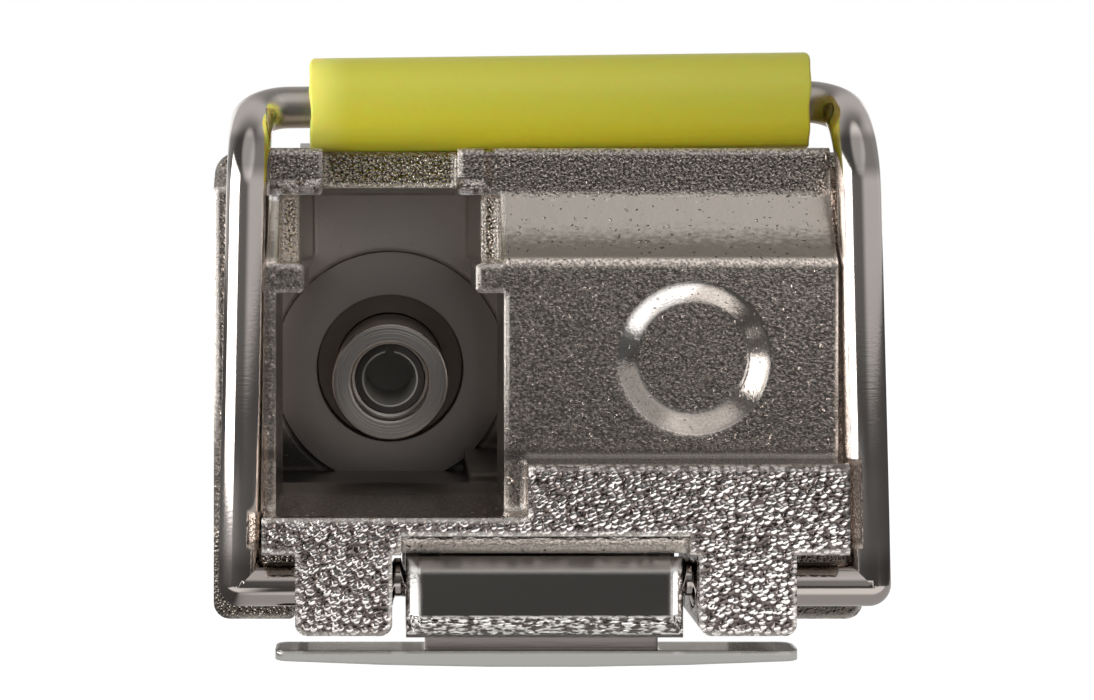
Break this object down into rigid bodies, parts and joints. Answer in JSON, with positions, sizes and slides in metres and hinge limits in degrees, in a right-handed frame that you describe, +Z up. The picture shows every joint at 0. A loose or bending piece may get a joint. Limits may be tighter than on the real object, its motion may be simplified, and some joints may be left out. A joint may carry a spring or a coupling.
{
  "type": "pluggable optical transceiver module",
  "caption": "Nickel-plated pluggable optical transceiver with a single connector port, a blank half, a bail latch with a yellow sleeve, and an edge connector at the rear.",
  "frame": {"origin": "middle of the underside of the whole module's box, under the latch lever's strip", "axes": "+Y from the port to the rear edge connector, +Z up, +X to the right seen from the front"},
  "size_m": [0.0148, 0.0564, 0.0127],
  "materials": {
    "nickel_casting": "nickel plated zinc die casting, fine sparkle grain",
    "cover_sheet": "nickel plated stamped sheet",
    "spring_sheet": "thin rolled spring sheet",
    "bail_nickel": "polished nickel plated wire",
    "sleeve_yellow": "translucent yellow plastic tube",
    "lever_nickel": "polished nickel plated casting",
    "barrel_steel": "turned stainless steel",
    "sleeve_ceramic": "polished white ceramic",
    "holder_metal": "dark turned metal",
    "can_metal": "plated can metal",
    "flex_amber": "amber film with copper tracks",
    "board_green": "green solder mask",
    "contact_gold": "gold plated contacts",
    "chip_black": "moulded black epoxy",
    "capacitor_tan": "tan ceramic with tinned ends",
    "inductor_grey": "moulded ferrite",
    "pad_grey": "soft thermal pad"
  },
  "bodies": {
    "root": {"main_casting": "nickel_casting", "top_cover": "cover_sheet", "finger_collar": "spring_sheet", "lever_pin": "barrel_steel", "lever_spring": "spring_sheet", "receptacle_barrel": "barrel_steel", "split_sleeve": "sleeve_ceramic", "fibre_stub": "sleeve_ceramic", "receptacle_holder": "holder_metal", "osa_clamp": "spring_sheet", "osa_housing": "can_metal", "laser_can": "can_metal", "laser_leads": "contact_gold", "laser_flex": "flex_amber", "detector_can": "can_metal", "detector_leads": "contact_gold", "detector_flex": "flex_amber", "circuit_board": "board_green", "contact_pads": "contact_gold", "driver_chip": "chip_black", "thermal_pad": "pad_grey", "amplifier_chip": "chip_black", "controller_chip": "chip_black", "memory_chip": "chip_black", "chip_capacitors": "capacitor_tan", "chip_resistors": "chip_black", "power_inductors": "inductor_grey"},
    "bail": {"bail_wire": "bail_nickel", "bail_sleeve": "sleeve_yellow"},
    "lever": {"latch_lever": "lever_nickel"}
  },
  "joints": [
    {"name": "bail_hinge", "type": "hinge", "parent": "root", "child": "bail", "pos_m": [0, -0.02725, 0.00173], "axis": [1, 0, 0], "range_deg": [0, 90]},
    {"name": "lever_pivot", "type": "hinge", "parent": "root", "child": "lever", "pos_m": [0, -0.02315, 0.00176], "axis": [1, 0, 0], "range_deg": [0, 4.8], "deforming": ["lever_spring"]}
  ],
  "couplings": [
    {"joint": "lever_pivot", "follows": "bail_hinge", "ratio": 0.053333}
  ]
}
